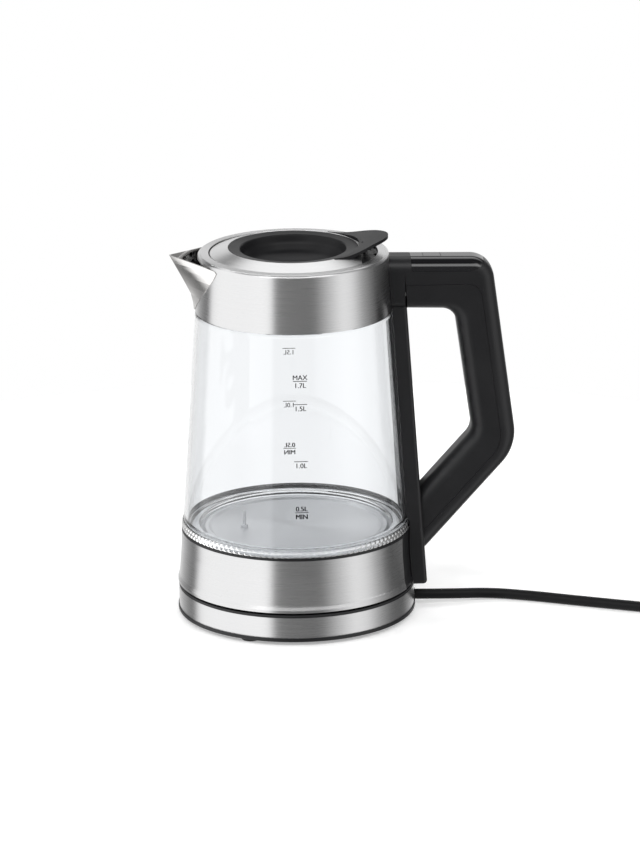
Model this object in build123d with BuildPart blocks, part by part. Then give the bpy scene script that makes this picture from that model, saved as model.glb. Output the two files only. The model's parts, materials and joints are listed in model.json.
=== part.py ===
from build123d import *
from math import cos, degrees, pi, radians, sin, sqrt, tan
import os

# Electric kettle: a glass jug with a steel skirt, collar and spout, a black handle and lid,
# standing on a round power base with its lead.
# Millimetres, +Z up. The origin is on the base's axis, where the feet touch the table.
# +X points to the handle and -X to the spout.

os.makedirs("parts", exist_ok=True)

# ---- driving dimensions ------------------------------------------------------------------
foot_height = 2.5  # how far the rubber feet stand below the bottom cover
base_r = 80.0
band_r = 79.4
band_low, band_high = 5.2, 19.2
deck_z = 21.0  # the rim of the base that the jug stands on
sheet = 0.8  # thickness of the steel sheets

skirt_low, skirt_high = 22.7, 58.0
skirt_r = 77.1  # at its top edge
rear_half_angle = 26.0  # the black panel behind the handle

glass_low, glass_high = 59.9, 209.6
glass_low_r, glass_high_r = 76.0, 65.6
glass_wall = 2.7
gasket_r = 77.1

collar_low, collar_high = 210.0, 249.0
collar_low_r, collar_high_r = 65.6, 63.5
mouth_r = 56.2

lid_r = 55.5
bowl_r = 43.0
hinge_x, hinge_z = 55.0, 245.0
pin_r = 1.25
chord_x = 43.5  # the lid is cut off straight here, in front of its hinge

handle_width = 27.0
handle_edge_r = 9.0
handle_wall = 2.2
seam_x = 73.5  # where the handle meets the neck of the spine

cord_r = 3.5
cord_exit = (80.0, 0.4, 7.3)
coil_centre = (284.0, -10.0)
coil_r = 38.0
plug_entry = (321.5, 35.0, 19.0)
plug_r = 19.0


# ---- helpers -----------------------------------------------------------------------------
def profile(points, plane=Plane.XZ):
    """A closed outline; a point's third number is the radius of its corner."""
    with BuildSketch(plane) as face:
        with BuildLine():
            FilletPolyline(
                *[p[:2] for p in points],
                radius=[p[2] if len(p) > 2 else 0 for p in points],
                close=True,
            )
        make_face()
    return face.sketch


def turn(points, mode=Mode.ADD):
    """Turn an outline about the kettle's axis."""
    revolve(profile(points), axis=Axis.Z, mode=mode)


def upright(centre, radius, low, high, mode=Mode.ADD):
    """A cylinder that stands on `low` and ends at `high`."""
    with Locations((centre[0], centre[1], (low + high) / 2)):
        Cylinder(radius, high - low, mode=mode)


def along(axis, centre, radius, length, mode=Mode.ADD):
    """A cylinder along X or Y about its centre."""
    turned = (0, 90, 0) if axis == "X" else (90, 0, 0)
    with Locations(centre):
        Cylinder(radius, length, rotation=turned, mode=mode)


def block(low, high, mode=Mode.ADD):
    """A box from its lowest corner to its highest."""
    centre = tuple((a + b) / 2 for a, b in zip(low, high))
    size = [b - a for a, b in zip(low, high)]
    with Locations(centre):
        Box(*size, mode=mode)


def ring_at(radius, angle):
    """A point on a circle about the kettle's axis."""
    return radius * cos(radians(angle)), radius * sin(radians(angle))


def save(builder, name):
    builder.part.label = name
    export_step(builder.part, f"parts/{name}.step")


# ---- base --------------------------------------------------------------------------------
foot_r, foot_circle, foot_seat = 6.4, 70.5, 1.2
foot_angles = (-119, 1, 121)
screw_circle = 55.0
screw_angles = (-59, 61, 181)
screw_r, screw_head_r, screw_head = 1.5, 3.0, 1.2
grommet_r = 4.4
cord_y, cord_z = cord_exit[1], cord_exit[2]

with BuildPart() as base_bottom_cover:
    turn([(0, foot_height), (base_r, foot_height, 0.8), (base_r, band_low), (0, band_low)])
    for angle in foot_angles:
        upright(ring_at(foot_circle, angle), foot_r, foot_height, foot_height + foot_seat, Mode.SUBTRACT)
    for angle in screw_angles:
        at = ring_at(screw_circle, angle)
        upright(at, screw_head_r, foot_height, foot_height + screw_head, Mode.SUBTRACT)
        upright(at, screw_r, foot_height, band_low, Mode.SUBTRACT)
    along("X", (65, cord_y, cord_z), cord_r, 32, Mode.SUBTRACT)
    along("X", (79, cord_y, cord_z), grommet_r, 4, Mode.SUBTRACT)
save(base_bottom_cover, "base_bottom_cover")

with BuildPart() as base_feet:
    for angle in foot_angles:
        upright(ring_at(foot_circle, angle), foot_r, 0, foot_height + foot_seat)
    chamfer(base_feet.edges().group_by(Axis.Z)[0], 0.6)
save(base_feet, "base_feet")

with BuildPart() as base_band:
    turn([(band_r - sheet, band_low), (band_r, band_low), (band_r, band_high), (band_r - sheet, band_high)])
    along("X", (79, cord_y, cord_z), grommet_r, 6, Mode.SUBTRACT)
save(base_band, "base_band")

housing_r = band_r - sheet
tower_r = 17.0
deck_low = 19.6
deck_under = 17.4
boss_r = 4.0
with BuildPart() as base_housing:
    turn(
        [
            (tower_r + 0.3, deck_under),
            (tower_r + 0.3, deck_low),
            (66.5, deck_low),
            (68.5, deck_z),
            (79.1, deck_z, 0.6),
            (79.1, band_high),
            (housing_r, band_high),
            (housing_r, band_low),
            (housing_r - 2, band_low),
            (housing_r - 2, deck_under),
        ]
    )
    for angle in screw_angles:
        upright(ring_at(screw_circle, angle), boss_r, band_low, deck_under)
        upright(ring_at(screw_circle, angle), screw_r, band_low, 14, Mode.SUBTRACT)
    along("X", (79, cord_y, cord_z), grommet_r, 6, Mode.SUBTRACT)
save(base_housing, "base_housing")

with BuildPart() as base_screws:
    for angle in screw_angles:
        upright(ring_at(screw_circle, angle), screw_head_r, foot_height, foot_height + screw_head)
        upright(ring_at(screw_circle, angle), screw_r, foot_height + screw_head, 14)
save(base_screws, "base_screws")

with BuildPart() as cord_grommet:
    along("X", (78.5, cord_y, cord_z), grommet_r, 3)
    along("X", (78.5, cord_y, cord_z), cord_r, 3, Mode.SUBTRACT)
save(cord_grommet, "cord_grommet")

clamp_x = (55, 63)
with BuildPart() as cord_clamp:
    block((clamp_x[0], cord_y - 10, band_low), (clamp_x[1], cord_y + 10, 13.5))
    along("X", (59, cord_y, cord_z), cord_r, 9, Mode.SUBTRACT)
save(cord_clamp, "cord_clamp")

# The sheathed lead inside the base, and its three wires up to the tower.
with BuildPart() as mains_wires:
    along("X", (65.5, cord_y, cord_z), cord_r, 29)
    for side in (-1, 0, 1):
        with BuildLine() as wire_path:
            FilletPolyline(
                (51, cord_y + 2 * side, cord_z),
                (32, 8 * side, 8.0),
                (14, 7 * side, 10.4),
                radius=8,
            )
        with BuildSketch(Plane(wire_path.wire() @ 0, z_dir=wire_path.wire() % 0)) as wire_section:
            Circle(1.1)
        sweep(wire_section.sketch, path=wire_path.wire())
save(mains_wires, "mains_wires")

# The round connector: a tower with two ring grooves and a centre hole.
tower_top = 33.0
groove_floor = 23.0
grooves = ((11.6, 14.4), (6.6, 9.4))
centre_hole_r = 3.3
with BuildPart() as base_connector:
    turn(
        [
            (0, 12),
            (20, 12),
            (20, 15.4),
            (24, 15.4),
            (24, deck_under),
            (tower_r, deck_under),
            (tower_r, tower_top, 1.5),
            (0, tower_top),
        ]
    )
    for inner, outer in grooves:
        turn(
            [(inner, groove_floor), (outer, groove_floor), (outer, tower_top), (inner, tower_top)],
            Mode.SUBTRACT,
        )
    upright((0, 0), centre_hole_r, 17, tower_top, Mode.SUBTRACT)
save(base_connector, "base_connector")

contact_top = 30.0
with BuildPart() as base_contacts:
    for inner, outer in grooves:
        turn(
            [
                (inner, groove_floor),
                (inner + 0.5, groove_floor),
                (inner + 0.5, contact_top),
                (inner, contact_top),
            ]
        )
    turn([(2.7, 17), (centre_hole_r, 17), (centre_hole_r, contact_top), (2.7, contact_top)])
save(base_contacts, "base_contacts")

# ---- kettle-side connector ---------------------------------------------------------------
coupler_r = 22.0
well_top = 34.6
with BuildPart() as coupler_body:
    turn(
        [
            (tower_r + 1, 23.4),
            (coupler_r, 23.4),
            (coupler_r, 37.5, 1),
            (0, 37.5),
            (0, well_top),
            (tower_r + 1, well_top),
        ]
    )
save(coupler_body, "coupler_body")

with BuildPart() as coupler_contacts:
    for inner, outer in grooves:
        turn([(inner + 1.3, 24.5), (inner + 1.9, 24.5), (inner + 1.9, well_top), (inner + 1.3, well_top)])
    upright((0, 0), 1.9, 20, well_top)
save(coupler_contacts, "coupler_contacts")

# ---- jug, lower end ----------------------------------------------------------------------
with BuildPart() as jug_bottom_cover:
    turn(
        [
            (coupler_r + 0.4, 22.4),
            (66.5, 22.4),
            (68.5, deck_z),
            (76.2, deck_z),
            (77.6, 22.4),
            (77.6, 25.4),
            (74, 25.4),
            (74, 24.6),
            (coupler_r + 2.4, 24.6),
            (coupler_r + 2.4, 34),
            (coupler_r + 0.4, 34),
        ]
    )
    for angle in screw_angles:
        upright(ring_at(70, angle), 1.6, 20, 26, Mode.SUBTRACT)
        upright(ring_at(70, angle), screw_head_r, 20, 22.4, Mode.SUBTRACT)
save(jug_bottom_cover, "jug_bottom_cover")

# The skirt flares to a rolled lip at its foot.
skirt_outer = [
    (skirt_r + 2.8, skirt_low),
    (skirt_r + 2.8, 24.4, 0.6),
    (skirt_r + 1.8, 27.0, 4),
    (skirt_r + 1.1, 34.5, 30),
    (skirt_r + 0.2, 46.0, 40),
    (skirt_r, skirt_high),
]


def skirt_shell(gap, thickness):
    """The skirt's outline, set in by `gap` and as thick as `thickness`."""
    outside = [(p[0] - gap, *p[1:]) for p in skirt_outer]
    inside = [(p[0] - gap - thickness, p[1]) for p in reversed(skirt_outer)]
    return outside + inside


def rear_wedge(half_angle):
    """The space within `half_angle` of the handle's plane, from the floor to the glass."""
    reach = 100
    corner = reach * tan(radians(half_angle))
    return profile([(0, 0), (reach, -corner), (reach, corner)], Plane.XY)


with BuildPart() as jug_skirt:
    turn(skirt_shell(0, sheet))
    extrude(rear_wedge(rear_half_angle), amount=70, mode=Mode.SUBTRACT)
save(jug_skirt, "jug_skirt")

with BuildPart() as rear_panel:
    turn(skirt_shell(0.25, sheet - 0.25))
    turn([(76.3, 28), (76.9, 28), (76.6, 52), (76.3, 52)])
    extrude(rear_wedge(rear_half_angle - 0.1), amount=70, mode=Mode.INTERSECT)
save(rear_panel, "rear_panel")

frame_r = 76.2
plate_flange_low, plate_flange_high = 56.9, 57.9
with BuildPart() as jug_frame:
    turn(
        [
            (frame_r, 25.6),
            (frame_r, skirt_high),
            (76.9, skirt_high),
            (76.9, 59.5),
            (75.7, 59.5),
            (75.7, plate_flange_low),
            (66, plate_flange_low),
            (66, 54.9),
            (74, 54.9),
            (74, 25.6),
        ]
    )
    for angle in screw_angles:
        upright(ring_at(70, angle), 4.2, 24.6, 36)
        upright(ring_at(70, angle), screw_r, 24.6, 34, Mode.SUBTRACT)
    turn([(74, 24.6), (78, 24.6), (78, 25.6), (74, 25.6)], Mode.SUBTRACT)
save(jug_frame, "jug_frame")

with BuildPart() as bottom_screws:
    for angle in screw_angles:
        upright(ring_at(70, angle), 2.8, 21.2, 22.4)
        upright(ring_at(70, angle), screw_r, 22.4, 34)
save(bottom_screws, "bottom_screws")

plate_top = 59.0
probe_x = -34.8
probe_stem_r = 1.5
with BuildPart() as heater_plate:
    turn(
        [
            (0, plate_top - 1),
            (57.4, plate_top - 1, 1),
            (59.3, plate_top + 0.4, 0.4),
            (60.8, plate_top + 0.4, 0.4),
            (62.1, plate_flange_low, 0.8),
            (75.5, plate_flange_low),
            (75.5, plate_flange_high),
            (62.9, plate_flange_high, 0.5),
            (61.4, plate_top + 1.4, 1),
            (58.8, plate_top + 1.4, 1),
            (57.0, plate_top, 1),
            (0, plate_top),
        ]
    )
    upright((probe_x, 0), probe_stem_r, 57, 60, Mode.SUBTRACT)
save(heater_plate, "heater_plate")

with BuildPart() as plate_seal:
    seal_top = glass_low - 0.05
    turn([(64.5, plate_flange_high), (75.6, plate_flange_high), (75.6, seal_top), (64.5, seal_top)])
save(plate_seal, "plate_seal")

with BuildPart() as temperature_probe:
    upright((probe_x, 0), probe_stem_r, 50, plate_top)
    upright((probe_x, 0), 2.35, plate_top, plate_top + 1.5)
    upright((probe_x, 0), 1.0, plate_top + 1.5, plate_top + 10.5)
    with Locations((probe_x, 0, plate_top + 10.5)):
        Sphere(1.0)
save(temperature_probe, "temperature_probe")

element_r = 44.0
with BuildPart() as heating_element:
    upright((0, 0), 52, 55, plate_top - 1)
    with Locations((0, 0, 52)):
        Torus(element_r, 4)
    for angle in (80, 100):
        upright(ring_at(element_r, angle), 1.6, 42, 50)
    upright((probe_x, 0), probe_stem_r, 50, 60, Mode.SUBTRACT)
save(heating_element, "heating_element")

with BuildPart() as thermostat:
    block((-30, -13, 39.5), (30, 13, 47))
    upright((0, 0), 9, 47, 49)
    for x in (-28, 28):
        upright((x, 0), 1.8, 24.6, 39.5)
save(thermostat, "thermostat")

# ---- glass -------------------------------------------------------------------------------
neck_in = 1.7  # the glass steps in by this much to go up into the collar
glass_top = 219.0
with BuildPart() as glass_body:
    turn(
        [
            (64.5, glass_low),
            (glass_low_r, glass_low, 3),
            (glass_high_r, glass_high),
            (glass_high_r - neck_in, collar_low - 0.05),
            (glass_high_r - neck_in, glass_top),
            (glass_high_r - 4, glass_top),
            (glass_high_r - 4, glass_high),
            (glass_high_r - glass_wall, glass_high - 3),
            (glass_low_r - glass_wall - 0.3, 63.2, 5),
            (64.5, 62.4, 1),
        ]
    )
save(glass_body, "glass_body")

with BuildPart() as glass_gasket:
    turn([(76.1, 59.6), (gasket_r, 59.6), (gasket_r, 65.0, 0.4), (76.1, 65.0)])
save(glass_gasket, "glass_gasket")

# ---- collar and spout --------------------------------------------------------------------
lip_low = 238.0  # the mouth's inner lip reaches down to here
bracket_half = 34.5
slot_half = 6.6

with BuildPart() as collar_outside:
    turn([(0, 200), (66.15, 200), (collar_high_r, collar_high + 1), (0, collar_high + 1)])


# The spout's V at rising heights: half of its width on the collar, and how far its nose reaches.
beak_rows = [
    (211.5, 2.0, 66.4),
    (215.8, 8.2, 66.9),
    (222.0, 16.4, 68.3),
    (228.9, 24.6, 71.9),
    (235.6, 30.7, 75.6),
    (240.1, 34.3, 78.2),
    (243.7, 36.2, 80.3),
    (249.2, 38.9, 83.4),
]
beak_proud = 0.35  # its edge stands this far off the collar


def beak(row, wall):
    """One level section of the spout's V, smaller all round by its `wall`."""
    z, half_width, reach = row
    collar_r = collar_low_r + (collar_high_r - collar_low_r) * (z - collar_low) / (collar_high - collar_low)
    root = sqrt((collar_r + beak_proud) ** 2 - half_width**2) - 0.6 * wall
    half_width -= wall
    nose_r = 0.4 + 2.6 * (z - beak_rows[0][0]) / (beak_rows[-1][0] - beak_rows[0][0]) - 0.3 * wall
    with BuildSketch(Plane.XY.offset(z)) as section:
        with BuildLine():
            FilletPolyline(
                (-45, half_width),
                (-root, half_width),
                (-reach + 1.15 * wall, 0),
                (-root, -half_width),
                (-45, -half_width),
                radius=[0, 0, nose_r, 0, 0],
                close=True,
            )
        make_face()
    return section.sketch


def beak_solid(rows, wall):
    """The spout's V through these rows, flat from each to the next."""
    with BuildPart() as solid:
        for low, high in zip(rows, rows[1:]):
            loft([beak(low, wall), beak(high, wall)], ruled=True)
    return solid.part


def under_edge(inset):
    """The space under the spout's upper edge, which runs down from the nose to round corners."""
    side, edge, corner_r = 37.2 - inset, 245.7 - inset, 4 - inset
    with BuildPart() as space:
        with BuildSketch(Plane.YZ):
            add(
                profile(
                    [
                        (0, 248.9 - inset),
                        (side, edge, corner_r),
                        (side + 1, 205),
                        (-side - 1, 205),
                        (-side, edge, corner_r),
                    ],
                    Plane.XY,
                )
            )
        extrude(amount=-90)
    return space.part


with BuildPart() as spout_opening:
    turn([(59, glass_top + 0.2), (70, glass_top + 0.2), (70, 246.2), (59, 246.2)])
    add(beak_solid(beak_rows[1:], 1.0), mode=Mode.INTERSECT)
    add(under_edge(1.1), mode=Mode.INTERSECT)

with BuildPart() as spout:
    add(beak_solid(beak_rows, 0))
    add(beak_solid(beak_rows[1:], 1.0), mode=Mode.SUBTRACT)
    add(collar_outside.part, mode=Mode.SUBTRACT)
    add(under_edge(0), mode=Mode.INTERSECT)
save(spout, "spout")

# The mouth's inner lip is open at the rear, where the hinge bracket sits.
with BuildPart() as lip_notch:
    turn([(mouth_r - 1, 230), (mouth_r + 1.5, 230), (mouth_r + 1.5, 248.1), (mouth_r - 1, 248.1)])
    block((chord_x, -bracket_half - 0.5, 230), (60, bracket_half + 0.5, 250), Mode.INTERSECT)

with BuildPart() as collar:
    turn(
        [
            (collar_low_r, collar_low),
            (collar_high_r, collar_high, 2.2),
            (mouth_r, collar_high + 0.3, 0.3),
            (mouth_r, lip_low),
            (mouth_r + sheet, lip_low),
            (mouth_r + sheet, collar_high - 0.5),
            (collar_high_r - sheet, collar_high - 0.8, 1.4),
            (collar_low_r - sheet, collar_low),
        ]
    )
    add(spout_opening.part, mode=Mode.SUBTRACT)
    add(lip_notch.part, mode=Mode.SUBTRACT)
save(collar, "collar")

with BuildPart() as collar_seal:
    turn([(63.9, 211), (64.7, 211), (64.3, glass_top), (63.9, glass_top)])
save(collar_seal, "collar_seal")

# A curved plate with round holes stands behind the spout.
strainer_r = 61.4
hole_pitch = 6.2
with BuildPart() as strainer:
    turn([(strainer_r - 0.7, 214), (strainer_r, 214), (strainer_r, 247.6), (strainer_r - 0.7, 247.6)])
    with BuildSketch(Plane.XY.offset(213)) as strainer_wedge:
        with BuildLine():
            Polyline((0, 0), (-80, -56), (-80, 56), close=True)
        make_face()
    extrude(strainer_wedge.sketch, amount=36, mode=Mode.INTERSECT)
    for z in (222, 228, 234, 240, 245):
        steps = int((1.02 * (z - 213) - 3) / hole_pitch)
        for step in range(-steps, steps + 1):
            angle = 180 + degrees(step * hole_pitch / strainer_r)
            x, y = ring_at(strainer_r, angle)
            with Locations((x, y, z)):
                Cylinder(1.7, 4, rotation=(0, 90, angle), mode=Mode.SUBTRACT)
save(strainer, "strainer")

# ---- handle ------------------------------------------------------------------------------
bar_outline = [
    (50, 245.9),
    (131.5, 244.2, 16),
    (148.8, 112.2, 32),
    (60, 13.3),
    (60, 59.3),
    (118.6, 124.7, 12),
    (106.8, 209.2, 10),
    (50, 211.0),
]


def bar(inset, edge_r):
    """The whole handle as one bar of rounded section, `inset` smaller all round."""
    with BuildPart() as solid:
        with BuildSketch(Plane.XZ) as face:
            add(profile(bar_outline))
            if inset:
                offset(amount=-inset, mode=Mode.REPLACE)
        extrude(face.sketch, amount=handle_width / 2 - inset, both=True)
        side_edges = solid.edges().filter_by(lambda e: abs(abs(e.center().Y) - handle_width / 2 + inset) < 0.01)
        fillet(side_edges, edge_r)
    return solid.part


# The spine's outer face leans out, and its sides spread, from the neck down to the base.
spine_low, spine_high = 20.5, 225.5
spine_neck_z = 210.0
spine_x = (87.2, 75.1)  # at its foot and at the neck
spine_half = (20.0, 9.5)


def on_spine(pair, z):
    """A value that changes evenly from the spine's foot to the neck, at the height `z`."""
    return pair[0] + (pair[1] - pair[0]) * (z - spine_low) / (spine_neck_z - spine_low)


far_low, far_high = -30, 250
spine_side = [
    (40, far_low),
    (on_spine(spine_x, far_low), far_low),
    (on_spine(spine_x, far_high), far_high),
    (40, far_high),
]
spine_front = [
    (-on_spine(spine_half, far_low), far_low),
    (on_spine(spine_half, far_low), far_low),
    (on_spine(spine_half, far_high), far_high),
    (-on_spine(spine_half, far_high), far_high),
]
handle_bar = bar(0, handle_edge_r)

with BuildPart() as jug_outside:
    turn(
        [
            (0, 10),
            (80.1, 10),
            (80.1, 23.8),
            (79.1, 26.2),
            (78.4, 34.5),
            (77.5, 46),
            (77.4, 65.3),
            (glass_low_r - 0.2, 65.4),
            (glass_high_r + 0.2, collar_low),
            (collar_high_r + 0.1, 247),
            (collar_high_r - 2, 252),
            (0, 252),
        ]
    )

with BuildPart() as neck:
    add(handle_bar)
    block((40, -20, 200), (seam_x, 20, 260), Mode.INTERSECT)

with BuildPart() as spine:
    extrude(profile(spine_side), amount=25, both=True)
    extrude(profile(spine_front, Plane.YZ), amount=120, mode=Mode.INTERSECT)
    fillet(spine.edges().filter_by(lambda e: e.length > 150 and e.center().X > 75), 2.5)
    block((30, -30, spine_low), (100, 30, spine_high), Mode.INTERSECT)
    fillet(spine.faces().sort_by(Axis.Z)[0].edges().sort_by(Axis.X)[-1], 2.5)
    add(neck.part)
    add(jug_outside.part, mode=Mode.SUBTRACT)

# The spine's block reaches past the jug; only the piece behind the jug is kept.
inset_low, inset_high, inset_half = 184.0, 208.0, 3.6
inset_z = (inset_low + inset_high) / 2
lean = (spine_x[0] - spine_x[1]) / (spine_neck_z - spine_low)
inset_plane = Plane(
    origin=(on_spine(spine_x, inset_z), 0, inset_z),
    x_dir=(0, 1, 0),
    z_dir=(1, 0, lean),
)


def inset_shape(grow, depth):
    """The elongated oval on the spine's outer face."""
    with BuildPart() as solid:
        with BuildSketch(inset_plane) as face:
            SlotOverall(inset_high - inset_low + 2 * grow, 2 * (inset_half + grow), rotation=90)
        extrude(face.sketch, amount=-depth)
    return solid.part


handle_screw_seats = ((64.0, 6.0), (220.0, 7.0))  # height, and how far to each side

with BuildPart() as handle_screws:
    for z, side in handle_screw_seats:
        x = 68 if z > 200 else 81.5
        for y in (-side, side):
            along("X", (x + 0.75, y, z), 3.0, 1.5)
            along("X", (x + 7, y, z), screw_r, 11.5)
save(handle_screws, "handle_screws")

with BuildPart() as spine_piece:
    add(spine.part.solids().sort_by(Axis.X)[-1])
    add(inset_shape(0.1, 1.2), mode=Mode.SUBTRACT)
    add(handle_screws.part, mode=Mode.SUBTRACT)
save(spine_piece, "spine")

with BuildPart() as spine_inset:
    add(inset_shape(0, 1.2))
save(spine_inset, "spine_inset")

# The parting line runs under the top face, then inside the back of the grip.
parting = [(40, 227.5), (123.7, 227.5, 10), (138.3, 115.5, 22), (50, 17.0)]
outer_side = parting + [(50, -40), (190, -40), (190, 280), (40, 280)]
panel_side = [(77.2, 256), (78.0, 236.8, 1), (117, 236.2, 6), (125, 239.0, 2), (134, 256)]
key_x = (86.0, 98.0)
key_half = 5.0
key_low = 241.6
board_x = (81.5, 122.0)
board_z = (237.6, 239.2)


def grown(points, amount):
    """An outline's face, larger all round by `amount`."""
    with BuildSketch(Plane.XZ) as face:
        add(profile(points))
        if amount:
            offset(amount=amount, mode=Mode.REPLACE)
    return face.sketch


with BuildPart() as handle_hollow:
    add(bar(handle_wall, handle_edge_r - handle_wall))
    block((40, -20, 200), (seam_x + 8, 20, 260), Mode.SUBTRACT)
    extrude(profile([(40, -20), (103, -20), (90, 220), (40, 220)]), amount=20, both=True, mode=Mode.SUBTRACT)

with BuildPart() as handle_shell:
    add(handle_bar)
    add(handle_hollow.part, mode=Mode.SUBTRACT)
    block((40, -20, 200), (seam_x, 20, 260), Mode.SUBTRACT)
    extrude(profile(spine_side), amount=22, both=True, mode=Mode.SUBTRACT)
    add(handle_screws.part, mode=Mode.SUBTRACT)

with BuildPart() as handle_outer_shell:
    add(handle_shell.part)
    extrude(grown(outer_side, 0), amount=30, both=True, mode=Mode.INTERSECT)
    extrude(grown(panel_side, 0.15), amount=30, both=True, mode=Mode.SUBTRACT)
save(handle_outer_shell, "handle_outer_shell")

with BuildPart() as handle_inner_shell:
    add(handle_shell.part)
    extrude(grown(outer_side, 0.2), amount=30, both=True, mode=Mode.SUBTRACT)
save(handle_inner_shell, "handle_inner_shell")

with BuildPart() as control_panel:
    add(handle_shell.part)
    extrude(grown(panel_side, 0), amount=30, both=True, mode=Mode.INTERSECT)
    for x in (board_x[0] + 1, board_x[1] - 3):
        block((x, -7, board_z[1]), (x + 2, 7, 242.8))
    block((key_x[0], -key_half, 230), (key_x[1], key_half, 260), Mode.SUBTRACT)
save(control_panel, "control_panel")

key_gap = 0.25
with BuildPart() as power_button:
    add(handle_bar)
    block(
        (key_x[0] + key_gap, -key_half + key_gap, key_low),
        (key_x[1] - key_gap, key_half - key_gap, 260),
        Mode.INTERSECT,
    )
save(power_button, "power_button")

with BuildPart() as control_board:
    block((board_x[0], -9.5, board_z[0]), (board_x[1], 9.5, board_z[1]))
    block((89, -3, board_z[1]), (95, 3, key_low - 0.9))
    for x in (104, 109, 114):
        block((x, -1.5, board_z[1]), (x + 2, 1.5, board_z[1] + 1))
save(control_board, "control_board")

# ---- lid ---------------------------------------------------------------------------------
rim_keep_r = 44.6  # the ring's inner rim stays whole behind the straight cut
ring_low, ring_edge, ring_top = 246.8, 248.7, 252.7

with BuildPart() as rear_cut:
    block((chord_x, -70, 225), (90, 70, 262))

with BuildPart() as lid_ring:
    turn(
        [
            (lid_r, ring_low),
            (lid_r, ring_edge, 0.5),
            (bowl_r + 0.2, ring_top, 0.3),
            (bowl_r + 0.2, ring_top - sheet),
            (lid_r - sheet, ring_edge - 0.6),
            (lid_r - sheet, ring_low),
        ]
    )
    with BuildPart(mode=Mode.PRIVATE) as ring_cut:
        add(rear_cut.part)
        upright((0, 0), rim_keep_r, 225, 262, Mode.SUBTRACT)
    add(ring_cut.part, mode=Mode.SUBTRACT)
save(lid_ring, "lid_ring")

with BuildPart() as lid_bowl:
    turn(
        [
            (0, 234),
            (20, 235, 20),
            (31.5, 239, 8),
            (36.8, 247),
            (38.2, 249.6),
            (bowl_r, 249.6),
            (bowl_r, 252.5, 0.4),
            (35.5, 251.6, 1.2),
            (33.8, 246.5, 6),
            (29.4, 240.9, 8),
            (20, 237.6, 20),
            (0, 236.6),
        ]
    )
save(lid_bowl, "lid_bowl")

body_r = lid_r - sheet - 0.1
boss_spots = [ring_at(46, a) for a in (60, 140, 220, 300)]
arm_rise = 2.2
with BuildPart() as lid_body:
    turn(
        [
            (body_r, 236.5),
            (body_r, ring_edge - 0.7),
            (bowl_r + 0.2, ring_top - 1.0),
            (bowl_r + 0.2, ring_top - 2.6),
            (body_r - 1.6, ring_edge - 2.0),
            (body_r - 1.6, 236.5),
        ]
    )
    for spot in boss_spots:
        upright(spot, 3.2, 234.2, 249.2)
        upright(spot, screw_r, 234.2, 246, Mode.SUBTRACT)
    with BuildPart(mode=Mode.PRIVATE) as chord_wall:
        turn([(0, 236.5), (body_r, 236.5), (body_r, ring_edge - 0.9), (bowl_r, 249.4), (0, 249.4)])
        block((chord_x - 1.6, -60, 230), (chord_x, 60, 260), Mode.INTERSECT)
    add(chord_wall.part)
    add(rear_cut.part, mode=Mode.SUBTRACT)
    # The arm's top stays low enough to pass under the mouth's lip as the lid opens.
    block((chord_x, -6, hinge_z - 3), (hinge_x, 6, hinge_z + arm_rise))
    along("Y", (hinge_x, 0, hinge_z), 3, 12)
    along("Y", (hinge_x, 0, hinge_z), pin_r + 0.05, 14, Mode.SUBTRACT)
    upright((48, 0), screw_r, 240, 249, Mode.SUBTRACT)
save(lid_body, "lid_body")

with BuildPart() as lid_seal:
    turn([(body_r, 238), (lid_r + 0.4, 238.6, 0.3), (lid_r + 0.4, 239.6, 0.3), (body_r, 240.4)])
    add(rear_cut.part, mode=Mode.SUBTRACT)
save(lid_seal, "lid_seal")

with BuildPart() as lid_inner_plate:
    turn(
        [
            (0, 232.6),
            (51, 232.6, 1),
            (body_r, 234.5, 1),
            (body_r, 236.4),
            (body_r - 1, 236.4),
            (body_r - 1, 235.2),
            (50.6, 233.6),
            (0, 233.6),
        ]
    )
    for spot in boss_spots:
        upright(spot, screw_r, 232, 235, Mode.SUBTRACT)
    block((chord_x - 0.1, -60, 230), (60, 60, 240), Mode.SUBTRACT)
save(lid_inner_plate, "lid_inner_plate")

with BuildPart() as lid_screws:
    for spot in boss_spots:
        upright(spot, 2.8, 231.4, 232.6)
        upright(spot, screw_r, 232.6, 246)
    upright((48, 0), 2.6, 240.8, 242)
    upright((48, 0), screw_r, 242, 252)
save(lid_screws, "lid_screws")

# The thumb lever is a curved leaf that rises over the hinge.
lever_top = [(24, 253.2), (33, 253.1), (41.5, 254.6), (50, 257.0), (57.5, 258.8), (63.6, 259.8)]
lever_thick = 2.2
lever_side = [(33.4, 32.4), (41.5, 27.4), (50, 20.8), (57.4, 13.8), (61.8, 7.0)]
lever_tip_x = 63.2
lever_root_r = 43.9
root_x = 25.2
root_y = sqrt(lever_root_r**2 - root_x**2)

with BuildPart() as lid_outside:
    turn([(0, 230), (lid_r + 0.1, 230), (lid_r + 0.1, ring_edge + 0.05), (bowl_r + 0.15, ring_top + 0.05), (0, 252.75)])

with BuildPart() as lid_lever:
    with BuildSketch(Plane.XZ) as leaf_side:
        with BuildLine():
            upper = Spline(*lever_top)
            lower = Spline(*[(x, z - lever_thick) for x, z in lever_top])
            Line(upper @ 0, lower @ 0)
            Line(upper @ 1, lower @ 1)
        make_face()
    extrude(leaf_side.sketch, amount=45, both=True)
    with BuildSketch(Plane.XY.offset(240)) as leaf_plan:
        with BuildLine():
            Spline(
                (root_x, root_y),
                *lever_side,
                (lever_tip_x, 0),
                *[(x, -y) for x, y in reversed(lever_side)],
                (root_x, -root_y),
            )
            ThreePointArc((root_x, root_y), (lever_root_r, 0), (root_x, -root_y))
        make_face()
    extrude(leaf_plan.sketch, amount=30, mode=Mode.INTERSECT)
    block((45.2, -5.5, hinge_z + 3), (51.5, 5.5, 256))
    add(lid_outside.part, mode=Mode.SUBTRACT)
    upright((48, 0), screw_r, 247, 252, Mode.SUBTRACT)
save(lid_lever, "lid_lever")

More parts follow.
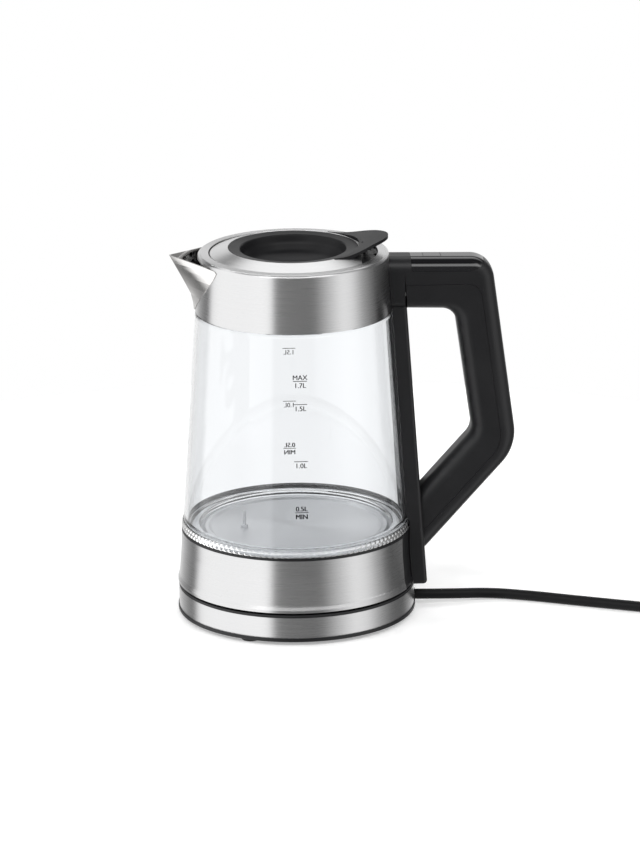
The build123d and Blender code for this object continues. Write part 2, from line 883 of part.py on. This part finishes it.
with BuildPart() as hinge_bracket:
    upright((0, 0), 62.0, 236, 247.2)
    block((chord_x + 0.8, -bracket_half, 230), (70, bracket_half, 250), Mode.INTERSECT)
    block((40, -slot_half, 240), (60, slot_half, 250), Mode.SUBTRACT)
    along("Y", (hinge_x, 0, hinge_z), pin_r, 23, Mode.SUBTRACT)
save(hinge_bracket, "hinge_bracket")

with BuildPart() as hinge_pin:
    along("Y", (hinge_x, 0, hinge_z), pin_r, 23)
save(hinge_pin, "hinge_pin")

# ---- lead and plug -----------------------------------------------------------------------
# The lead drops from the grommet to the table, bends forward and runs to its coil.
cord_route = [
    cord_exit,
    (104, 2.0, 6.2),
    (132, 9.6, 3.6),
    (158, 1.4, 3.5),
    (189, -12.0, 3.5),
    (221, -25.0, 3.5),
    (251, -37.4, 3.5),
]
tail_route = [(321.5, 9.0, 14.0), (321.9, 22.0, 16.8), plug_entry]


def lead(route):
    """A round lead along straight runs joined by arcs as large as the runs allow."""
    corners = [Vector(*p) for p in route]
    radii = []
    for before, corner, after in zip(corners, corners[1:], corners[2:]):
        half_turn = radians((corner - before).get_angle(after - corner)) / 2
        radii.append(0.45 * min((corner - before).length, (after - corner).length) / tan(half_turn))
    print("lead radii", [round(r) for r in radii])
    with BuildPart() as tube:
        with BuildLine() as path:
            FilletPolyline(*route, radius=radii)
        with BuildSketch(Plane(path.wire() @ 0, z_dir=path.wire() % 0)) as section:
            Circle(cord_r)
        sweep(section.sketch, path=path.wire())
    print("lead length", round(path.wire().length, 1), "volume ratio",
          round(tube.part.volume / (path.wire().length * pi * cord_r**2), 4))
    return tube.part


with BuildPart() as power_cord:
    add(lead(cord_route))
save(power_cord, "power_cord")

with BuildPart() as cord_tail:
    add(lead(tail_route))
save(cord_tail, "cord_tail")

coil_high = 6 * cord_r  # three turns lie on each other where the lead leaves the coil
with BuildPart() as cord_coil:
    with Locations((*coil_centre, coil_high / 2)):
        Cylinder(coil_r + cord_r + 0.5, coil_high)
        Cylinder(coil_r - cord_r - 0.8, coil_high, mode=Mode.SUBTRACT)
save(cord_coil, "cord_coil")

plug_length = 55.0
plug_side = [
    (0, 0),
    (0, 4.6),
    (22, 7.5),
    (27, 10.5),
    (32, 14),
    (43, 16),
    (46, plug_r),
    (plug_length, plug_r),
    (plug_length, 0),
]
with BuildPart() as plug_body:
    with BuildSketch(Plane.YZ.offset(plug_entry[0])) as plug_half:
        with BuildLine():
            Polyline(
                *[(plug_entry[1] + y, plug_entry[2] + r) for y, r in plug_side],
                close=True,
            )
        make_face()
    revolve(plug_half.sketch, axis=Axis(plug_entry, (0, 1, 0)))
save(plug_body, "plug_body")

pin_length, pin_spacing, plug_pin_r = 19.0, 19.0, 2.4
pin_y = plug_entry[1] + plug_length + pin_length / 2
with BuildPart() as plug_pins:
    for side in (-1, 1):
        along("Y", (plug_entry[0] + side * pin_spacing / 2, pin_y, plug_entry[2]), plug_pin_r, pin_length)
save(plug_pins, "plug_pins")
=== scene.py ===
"""An electric kettle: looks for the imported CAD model, in metres, in its own frame."""

import json
from math import cos, pi, radians, sin

import bmesh
import bpy
from mathutils import Matrix, Vector


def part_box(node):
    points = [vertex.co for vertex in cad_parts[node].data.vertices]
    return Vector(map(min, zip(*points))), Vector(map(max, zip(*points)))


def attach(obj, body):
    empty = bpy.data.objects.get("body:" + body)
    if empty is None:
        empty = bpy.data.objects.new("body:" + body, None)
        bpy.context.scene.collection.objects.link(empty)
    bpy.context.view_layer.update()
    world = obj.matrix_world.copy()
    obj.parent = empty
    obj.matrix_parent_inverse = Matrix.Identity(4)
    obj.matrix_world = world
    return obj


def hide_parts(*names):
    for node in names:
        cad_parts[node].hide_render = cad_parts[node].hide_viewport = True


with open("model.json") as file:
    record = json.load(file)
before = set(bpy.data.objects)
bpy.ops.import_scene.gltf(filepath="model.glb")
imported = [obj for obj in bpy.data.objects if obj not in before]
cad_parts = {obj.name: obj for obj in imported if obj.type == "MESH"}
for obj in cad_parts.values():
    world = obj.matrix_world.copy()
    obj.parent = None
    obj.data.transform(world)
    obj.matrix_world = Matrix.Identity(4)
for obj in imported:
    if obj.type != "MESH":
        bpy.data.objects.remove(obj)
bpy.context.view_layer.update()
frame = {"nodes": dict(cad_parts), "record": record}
nodes = frame["nodes"]

MM = 0.001
noise_low, noise_high = 0.3, 0.7  # most values of a noise lie between these
scene = bpy.context.scene
scene.view_settings.view_transform = "Standard"


# ---- helpers -----------------------------------------------------------------------------
def put(tree, kind, sockets=None, **settings):
    """Adds a shader node; a socket is given a value or the output that feeds it."""
    made = tree.nodes.new("ShaderNode" + kind)
    for key, value in settings.items():
        setattr(made, key, value)
    for key, value in (sockets or {}).items():
        if isinstance(value, bpy.types.NodeSocket):
            tree.links.new(value, made.inputs[key])
        else:
            made.inputs[key].default_value = value
    return made


def math(tree, operation, first, second=0.0):
    """The result of a sum on two values or outputs."""
    return put(tree, "Math", {0: first, 1: second}, operation=operation).outputs[0]


def spread(tree, value, low, high, from_low=0.0, from_high=1.0):
    """Maps a value to a range."""
    sockets = {"Value": value, "From Min": from_low, "From Max": from_high,
               "To Min": low, "To Max": high}
    return put(tree, "MapRange", sockets).outputs[0]


def tint(tree, factor, low, high):
    """A colour between two, by a factor."""
    ramp = put(tree, "ValToRGB", {"Fac": factor})
    ramp.color_ramp.elements[0].color = (*low, 1)
    ramp.color_ramp.elements[1].color = (*high, 1)
    return ramp.outputs["Color"]


def surface(name, **values):
    """A new material, its node tree and its shader with constants set on the shader."""
    made = bpy.data.materials.new(name)
    made.use_nodes = True
    shader = made.node_tree.nodes["Principled BSDF"]
    for key, value in values.items():
        shader.inputs[key.replace("_", " ")].default_value = value
    return made, made.node_tree, shader


def place(tree):
    """A point's coordinates in its own object."""
    return put(tree, "TexCoord").outputs["Object"]


def noise(tree, vector, scale, detail=3.0, roughness=0.5):
    sockets = {"Vector": vector, "Scale": scale, "Detail": detail, "Roughness": roughness}
    return put(tree, "TexNoise", sockets).outputs["Fac"]


def bump(tree, shader, height, strength, distance):
    sockets = {"Height": height, "Strength": strength, "Distance": distance}
    tree.links.new(put(tree, "Bump", sockets).outputs["Normal"], shader.inputs["Normal"])


def round_the_axis(tree, across, along):
    """Coordinates whose noise is streaks that run round the kettle's axis."""
    parts = put(tree, "SeparateXYZ", {0: place(tree)})
    x, y, z = parts.outputs
    radius = math(tree, "SQRT", math(tree, "ADD", math(tree, "MULTIPLY", x, x),
                                     math(tree, "MULTIPLY", y, y)))
    line = math(tree, "MULTIPLY", math(tree, "ADD", z, radius), across)
    sockets = {0: math(tree, "MULTIPLY", x, along), 1: math(tree, "MULTIPLY", y, along), 2: line}
    return put(tree, "CombineXYZ", sockets).outputs[0]


# ---- materials ---------------------------------------------------------------------------
def steel(name, dark, light, smooth, rough, anisotropic, relief):
    """Stainless steel with fine brushing round the kettle's axis."""
    quarter_turn, fine_share = 0.25, 0.7
    made, tree, shader = surface(name, Metallic=1.0, Anisotropic=anisotropic,
                                 Anisotropic_Rotation=quarter_turn)
    fine = noise(tree, round_the_axis(tree, across=14000, along=45), 1.0, 3.0, 0.6)
    broad = noise(tree, round_the_axis(tree, across=2500, along=12), 1.0, 2.0)
    both = math(tree, "ADD", math(tree, "MULTIPLY", fine, fine_share),
                math(tree, "MULTIPLY", broad, 1 - fine_share))
    tree.links.new(tint(tree, both, dark, light), shader.inputs["Base Color"])
    tree.links.new(spread(tree, fine, smooth, rough, noise_low, noise_high), shader.inputs["Roughness"])
    tangent = put(tree, "Tangent", direction_type="RADIAL", axis="Z")
    tree.links.new(tangent.outputs[0], shader.inputs["Tangent"])
    bump(tree, shader, fine, relief, 0.04 * MM)
    return made


def polished(name, colour, smooth, rough):
    """Bright metal with faint smudges."""
    made, tree, shader = surface(name, Metallic=1.0)
    smudge = noise(tree, place(tree), scale=60, detail=4.0)
    tree.links.new(tint(tree, smudge, [c * 0.94 for c in colour], colour),
                   shader.inputs["Base Color"])
    tree.links.new(spread(tree, smudge, smooth, rough, noise_low, noise_high), shader.inputs["Roughness"])
    return made


def plastic(name, colour, smooth, rough, grain, relief, level=0.5):
    """Moulded plastic or rubber: a fine grain with a little variation in its gloss."""
    made, tree, shader = surface(name, Specular_IOR_Level=level)
    grains = noise(tree, place(tree), grain, detail=2.0)
    patches = noise(tree, place(tree), scale=35)
    tree.links.new(tint(tree, patches, [c * 0.8 for c in colour], [c * 1.2 for c in colour]),
                   shader.inputs["Base Color"])
    tree.links.new(spread(tree, patches, smooth, rough, noise_low, noise_high), shader.inputs["Roughness"])
    bump(tree, shader, grains, relief, 0.05 * MM)
    return made


def clear(name, colour, index, smooth, rough):
    """Glass or clear silicone."""
    made, tree, shader = surface(name, Transmission_Weight=1.0, IOR=index,
                                 Base_Color=(*colour, 1))
    film = noise(tree, place(tree), scale=25, detail=2.0)
    tree.links.new(spread(tree, film, smooth, rough, noise_low, noise_high), shader.inputs["Roughness"])
    return made


looks = {
    "brushed_steel": steel("brushed_steel", (0.46, 0.46, 0.465), (0.57, 0.57, 0.57),
                           0.24, 0.34, 0.82, 0.12),
    "lid_steel": steel("lid_steel", (0.50, 0.50, 0.505), (0.64, 0.64, 0.64),
                       0.26, 0.36, 0.75, 0.10),
    "plate_steel": steel("plate_steel", (0.47, 0.48, 0.50), (0.58, 0.59, 0.60),
                         0.32, 0.44, 0.7, 0.08),
    "polished_steel": polished("polished_steel", (0.66, 0.65, 0.64), 0.08, 0.18),
    "screw_steel": polished("screw_steel", (0.6, 0.6, 0.6), 0.2, 0.35),
    "aluminium": polished("aluminium", (0.62, 0.63, 0.64), 0.35, 0.5),
    "brass": polished("brass", (0.74, 0.55, 0.24), 0.18, 0.3),
    "black_plastic": plastic("black_plastic", (0.010, 0.010, 0.011), 0.36, 0.44, 2600, 0.18, 0.3),
    "lid_black": plastic("lid_black", (0.008, 0.008, 0.009), 0.40, 0.48, 2600, 0.18, 0.16),
    "gloss_black": plastic("gloss_black", (0.008, 0.008, 0.009), 0.05, 0.09, 900, 0.01),
    "print_black": plastic("print_black", (0.010, 0.010, 0.011), 0.7, 0.8, 900, 0.01, 0.1),
    "rubber_black": plastic("rubber_black", (0.016, 0.016, 0.016), 0.55, 0.7, 1800, 0.2, 0.35),
    "cord_black": plastic("cord_black", (0.005, 0.005, 0.0055), 0.46, 0.56, 1500, 0.1, 0.15),
    # The seal's grey is darker than the white silicone it is made of: painted shade for the seal inside
    # the glass foot.
    "silicone": plastic("silicone", (0.52, 0.535, 0.55), 0.4, 0.5, 1200, 0.05),
    "circuit_board": plastic("circuit_board", (0.02, 0.12, 0.05), 0.25, 0.35, 400, 0.05),
    "glass": clear("glass", (0.965, 0.975, 0.985), 1.45, 0.0, 0.004),
    "clear_silicone": clear("clear_silicone", (0.95, 0.96, 0.97), 1.41, 0.10, 0.2),
}

for entry in frame["record"]["subparts"]:
    shown = nodes[entry["node"]]
    for place_on in shown.material_slots:
        place_on.link = "OBJECT"
        place_on.material = looks[entry["material_slot"]]
# The lid's steel is brighter than the jug's, and its black parts are duller.
lid_looks = {"lid_ring": "lid_steel", "lid_bowl": "lid_black", "lid_lever": "lid_black"}
for node, look in lid_looks.items():
    nodes[node].material_slots[0].material = looks[look]
# The glass casts no shadow, so light reaches what it encloses.
nodes["glass_body"].visible_shadow = False


def piece(name, mesh, slot, body, smooth=True, look=None):
    """A new mesh piece with its finish, riding on its body."""
    made = bpy.data.objects.new(name, mesh)
    scene.collection.objects.link(made)
    mesh.materials.clear()
    mesh.materials.append(looks[look or slot])
    if smooth:
        mesh.polygons.foreach_set("use_smooth", [True] * len(mesh.polygons))
    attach(made, body)
    return made


# ---- camera ------------------------------------------------------------------------------
# A long lens, 3.4 m away and looking down on the kettle from the front.
camera_spot = (-0.1696, -3.2321, 1.0994)
forward = Vector((0.05514, 0.95615, -0.28763)).normalized()
lens_length, roll = 212.6, radians(-0.539)
camera_data = bpy.data.cameras.new("camera")
camera_data.lens = lens_length
camera_data.clip_end = 100
camera = bpy.data.objects.new("camera", camera_data)
scene.collection.objects.link(camera)
scene.camera = camera
level = forward.cross(Vector((0, 0, 1))).normalized()
over = level.cross(forward)
right = cos(roll) * level + sin(roll) * over
up = -sin(roll) * level + cos(roll) * over
turned = Matrix((right, up, -forward)).transposed().to_4x4()
camera.matrix_world = Matrix.Translation(camera_spot) @ turned

# ---- lead --------------------------------------------------------------------------------
# The route is the CAD route. The coil's turns lie on each other, each stepping up where it
# comes round to the one before.
cord_route = [(80.0, 0.4, 7.3), (104, 2.0, 6.2), (132, 9.6, 3.6), (158, 1.4, 3.5),
              (189, -12.0, 3.5), (221, -25.0, 3.5), (251, -37.4, 3.5)]
tail_route = [(321.5, 9.0, 18.3), (321.9, 22.0, 18.8), (321.5, 35.0, 19.0)]
coil_centre, coil_control_r = (284.0, -10.0), 38.9
first_angle, last_angle, point_step = 240, 1080, 24
cord_r = 3.5
layer, floor_z, climb = 7.3, cord_r, 90


def coil_height(angle):
    """Each turn lies flat on the last one and climbs through the quarter before it meets it."""
    turns, part = divmod(angle - first_angle + climb / 2, 360)
    return floor_z + layer * (turns + max(0.0, (part - (360 - climb)) / climb))


coil_points = []
for number in range((last_angle - first_angle) // point_step + 1):
    angle = first_angle + number * point_step
    coil_points.append((coil_centre[0] + coil_control_r * cos(radians(angle)),
                        coil_centre[1] + coil_control_r * sin(radians(angle)),
                        coil_height(angle)))

cord_points = cord_route + coil_points + tail_route
cord_curve = bpy.data.curves.new("lead", "CURVE")
cord_curve.dimensions = "3D"
cord_curve.bevel_depth = cord_r * MM
cord_curve.bevel_resolution = 6
cord_curve.resolution_u = 10
cord_curve.use_fill_caps = True
line = cord_curve.splines.new("NURBS")
line.points.add(len(cord_points) - 1)
for point, spot in zip(line.points, cord_points):
    point.co = (*(v * MM for v in spot), 1)
line.order_u = 3
line.use_endpoint_u = True
cord_curve.materials.append(looks["cord_black"])
lead = bpy.data.objects.new("lead", cord_curve)
scene.collection.objects.link(lead)
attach(lead, "base")
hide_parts("power_cord", "cord_coil", "cord_tail")

# ---- beaded gasket -----------------------------------------------------------------------
beads, steps_per_bead = 114, 8
gasket_low, gasket_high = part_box("glass_gasket")
gasket_r = gasket_high[1]
bead_rows, bead_depth, least_bead = 14, 0.75 * MM, 0.25
ring_wall, ring_hollow, lean_in = 0.9 * MM, 0.2 * MM, 0.9 * MM


def gasket_ring():
    """A clear ring between skirt and glass with two staggered rows of beads on its outside."""
    made = bmesh.new()
    inner_r = gasket_r - ring_wall - ring_hollow
    count = beads * steps_per_bead
    rings = []
    for step in range(count):
        angle = 2 * pi * step / count
        ring = []
        for row in range(bead_rows + 1):
            share = row / bead_rows
            z = gasket_low[2] + (gasket_high[2] - gasket_low[2]) * share
            upper = share > 0.5
            local = (share * 2) % 1.0 if share < 1 else 1.0
            swell = abs(sin(pi * local)) ** 0.5
            wave = abs(sin(beads * angle / 2 + (pi / 2 if upper else 0))) ** 0.6
            proud = swell * (least_bead + (1 - least_bead) * wave)
            radius = gasket_r - bead_depth + bead_depth * proud - lean_in * share ** 3
            ring.append(made.verts.new((radius * cos(angle), radius * sin(angle), z)))
        for z in (gasket_high[2], gasket_low[2]):
            ring.append(made.verts.new((inner_r * cos(angle), inner_r * sin(angle), z)))
        rings.append(ring)
    for first, second in zip(rings, rings[1:] + rings[:1]):
        size = len(first)
        for k in range(size):
            made.faces.new((first[k], second[k], second[(k + 1) % size], first[(k + 1) % size]))
    bmesh.ops.recalc_face_normals(made, faces=made.faces)
    mesh = bpy.data.meshes.new("gasket_beads")
    made.to_mesh(mesh)
    return mesh


gasket = piece("gasket_beads", gasket_ring(), "clear_silicone", "jug")
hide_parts("glass_gasket")

# ---- level marks -------------------------------------------------------------------------
# Printed on the glass at the front and at the back: text above its bar, bar, text below.
marks = [(179.0, "MAX", "1.7L"), (163.5, "", "1.5L"), (125.2, "", "1.0L"), (90.8, "0.5L", "MIN")]
cap_height, bar_width, bar_height = 3.2, 9.1, 0.45
cap_share = 0.7  # of a letter's size, taken up by a capital
bar_pieces, same_point = 12, 1e-7
gap_above, gap_below = 0.9, 1.2
stroke, bold_stroke, bold_mark = 0.16, 0.34, "0.5L"  # strokes are added to the letters' own
print_lift = 0.12
# The outside of the glass is a cone.
glass_low_z, glass_high_z, glass_low_r, glass_high_r = 59.9, 209.6, 76.0, 65.6


def flat_text(words):
    """A line of text as a flat mesh, centred, its foot at zero, in millimetres."""
    curve = bpy.data.curves.new("text", "FONT")
    curve.body = words
    curve.size = cap_height / cap_share
    curve.align_x = "CENTER"
    holder = bpy.data.objects.new("text", curve)
    scene.collection.objects.link(holder)
    mesh = bpy.data.meshes.new_from_object(holder)
    bpy.data.objects.remove(holder)
    return mesh


def printed_marks(facing):
    """All the marks of one side, wrapped onto the glass."""
    made = bmesh.new()

    def wrap(vertices, foot):
        """Bends flat vertices round the glass, with their own zero at the height `foot`."""
        for vertex in vertices:
            z = foot + vertex.co.y
            share = (z - glass_low_z) / (glass_high_z - glass_low_z)
            radius = glass_low_r + (glass_high_r - glass_low_r) * share + print_lift
            angle = radians(facing) + vertex.co.x / radius
            vertex.co = (radius * cos(angle) * MM, radius * sin(angle) * MM, z * MM)

    def add_mesh(mesh, foot, shift):
        """Adds a copy of a flat mesh, shifted sideways before it is bent."""
        before = len(made.verts)
        made.from_mesh(mesh)
        made.verts.ensure_lookup_table()
        for vertex in made.verts[before:]:
            vertex.co.x += shift
        wrap(made.verts[before:], foot)

    for height, above, below in marks:
        for words, foot in ((above, height + gap_above),
                            (below, height - gap_below - cap_height)):
            if words:
                thicker = bold_stroke if above == bold_mark else stroke
                for shift in (-thicker / 2, 0.0, thicker / 2):
                    add_mesh(flat_text(words), foot, shift)
        low, high = -bar_height / 2, bar_height / 2
        for k in range(bar_pieces):
            x0 = bar_width * (k / bar_pieces - 0.5)
            x1 = bar_width * ((k + 1) / bar_pieces - 0.5)
            outline = ((x0, low, 0), (x1, low, 0), (x1, high, 0), (x0, high, 0))
            corners = [made.verts.new(corner) for corner in outline]
            made.faces.new(corners)
            wrap(corners, height)
    bmesh.ops.remove_doubles(made, verts=made.verts, dist=same_point)
    mesh = bpy.data.meshes.new("marks")
    made.to_mesh(mesh)
    return mesh


piece("level_marks_front", printed_marks(-90), "black_plastic", "jug", False, "print_black")
piece("level_marks_back", printed_marks(90), "black_plastic", "jug", False, "print_black")

# ---- floor and light ---------------------------------------------------------------------
floor_r, floor_sides, floor_glow = 0.55, 96, 0.35
floor_mesh = bpy.data.meshes.new("floor")
rim = [(floor_r * cos(2 * pi * k / floor_sides), floor_r * sin(2 * pi * k / floor_sides), 0)
       for k in range(floor_sides)]
floor_mesh.from_pydata(rim, [], [tuple(range(floor_sides))])
floor = bpy.data.objects.new("floor", floor_mesh)
floor.location.z = -0.2 * MM
scene.collection.objects.link(floor)
floor_look = plastic("floor", (0.80, 0.80, 0.80), 0.6, 0.75, 300, 0.0, 0.2)
floor_mesh.materials.append(floor_look)
floor_shader = floor_look.node_tree.nodes["Principled BSDF"]
floor_shader.inputs["Emission Color"].default_value = (1, 1, 1, 1)
floor_shader.inputs["Emission Strength"].default_value = floor_glow
# The steel doesn't mirror the floor, and the glass doesn't show it.
floor.visible_glossy = False
floor.visible_transmission = False

# A studio by direction: degrees from the front, to the right, and brightness. It has a large
# soft light at the left, a dim front, a narrower light at the right and a bright wall behind.
studio = [(-180, 1.04), (-167, 1.02), (-152, 0.70), (-123, 0.16), (-114, 1.72), (-30, 1.76),
          (-25, 0.27), (20, 0.21), (24, 0.30), (56, 1.5), (70, 1.38), (86, 0.62), (104, 0.24),
          (126, 0.16), (150, 0.80), (165, 1.02), (180, 1.04)]
brightest = 4.0  # the ramp's stops hold each brightness divided by this
top_strength, box_strength = 1.5, 4.0
# How much of the white background is mixed into what glass shows, and how bright it is there.
white_share, white_through = 0.6, 0.97
world = bpy.data.worlds.new("studio")
scene.world = world
world.use_nodes = True
tree = world.node_tree
tree.nodes.clear()
direction = put(tree, "SeparateXYZ", {0: put(tree, "TexCoord").outputs["Generated"]})
to_right, to_back, rise = direction.outputs
toward = math(tree, "ARCTAN2", to_right, math(tree, "MULTIPLY", to_back, -1.0))
turn_share = spread(tree, toward, 0.0, 1.0, -pi, pi)
ramp = put(tree, "ValToRGB", {"Fac": turn_share}).color_ramp
while len(ramp.elements) < len(studio):
    ramp.elements.new(0.5)
for stop, (angle, amount) in zip(ramp.elements, studio):
    stop.position = (angle + 180) / 360
    stop.color = (amount / brightest,) * 3 + (1,)
sides = math(tree, "MULTIPLY", tree.nodes[-1].outputs[0], brightest)
# The wall behind has a dim band, and is lit again above it. The ceiling over the front is dark,
# with a large soft box below it.
behind = spread(tree, to_back, 0.0, 1.0, 0.35, 0.6)
wall_top = math(tree, "MULTIPLY", spread(tree, rise, 0.0, 0.75, 0.36, 0.46),
                spread(tree, rise, 1.0, 0.0, 0.62, 0.72))
dim = math(tree, "MULTIPLY", behind, wall_top)
walls = math(tree, "MULTIPLY", sides, math(tree, "SUBTRACT", 1.0, dim))
over_front = spread(tree, to_back, 1.0, 0.0, 0.30, 0.50)
ceiling = math(tree, "MULTIPLY", over_front, spread(tree, rise, 0.0, 0.92, 0.70, 0.80))
walls = math(tree, "MULTIPLY", walls, math(tree, "SUBTRACT", 1.0, ceiling))
aside = math(tree, "ABSOLUTE", toward)
box_high = math(tree, "MULTIPLY", spread(tree, rise, 0.0, 1.0, 0.54, 0.66),
                spread(tree, rise, 1.0, 0.0, 0.80, 0.88))
box = math(tree, "MULTIPLY", box_high, spread(tree, aside, 1.0, 0.0, 0.8, 1.1))
top_light = math(tree, "MULTIPLY", spread(tree, rise, 0.0, top_strength, 0.60, 0.72),
                 spread(tree, to_back, 0.0, 1.0, 0.25, 0.45))
walls = math(tree, "ADD", walls, top_light)
mixed = math(tree, "ADD", walls, math(tree, "MULTIPLY", box, box_strength))
# The camera sees a plain white background, and through glass mostly the same, from every side.
rays = put(tree, "LightPath").outputs
seen, through_glass = rays["Is Camera Ray"], rays["Is Transmission Ray"]
white = math(tree, "ADD", seen, math(tree, "MULTIPLY", through_glass, white_share))
background = math(tree, "ADD", seen,
                  math(tree, "MULTIPLY", through_glass, white_share * white_through))
strength = math(tree, "ADD", math(tree, "MULTIPLY", mixed, math(tree, "SUBTRACT", 1.0, white)),
                background)
lamp = put(tree, "Background", {"Color": (1.0, 1.0, 1.0, 1.0), "Strength": strength})
tree.links.new(lamp.outputs[0], put(tree, "OutputWorld").inputs["Surface"])
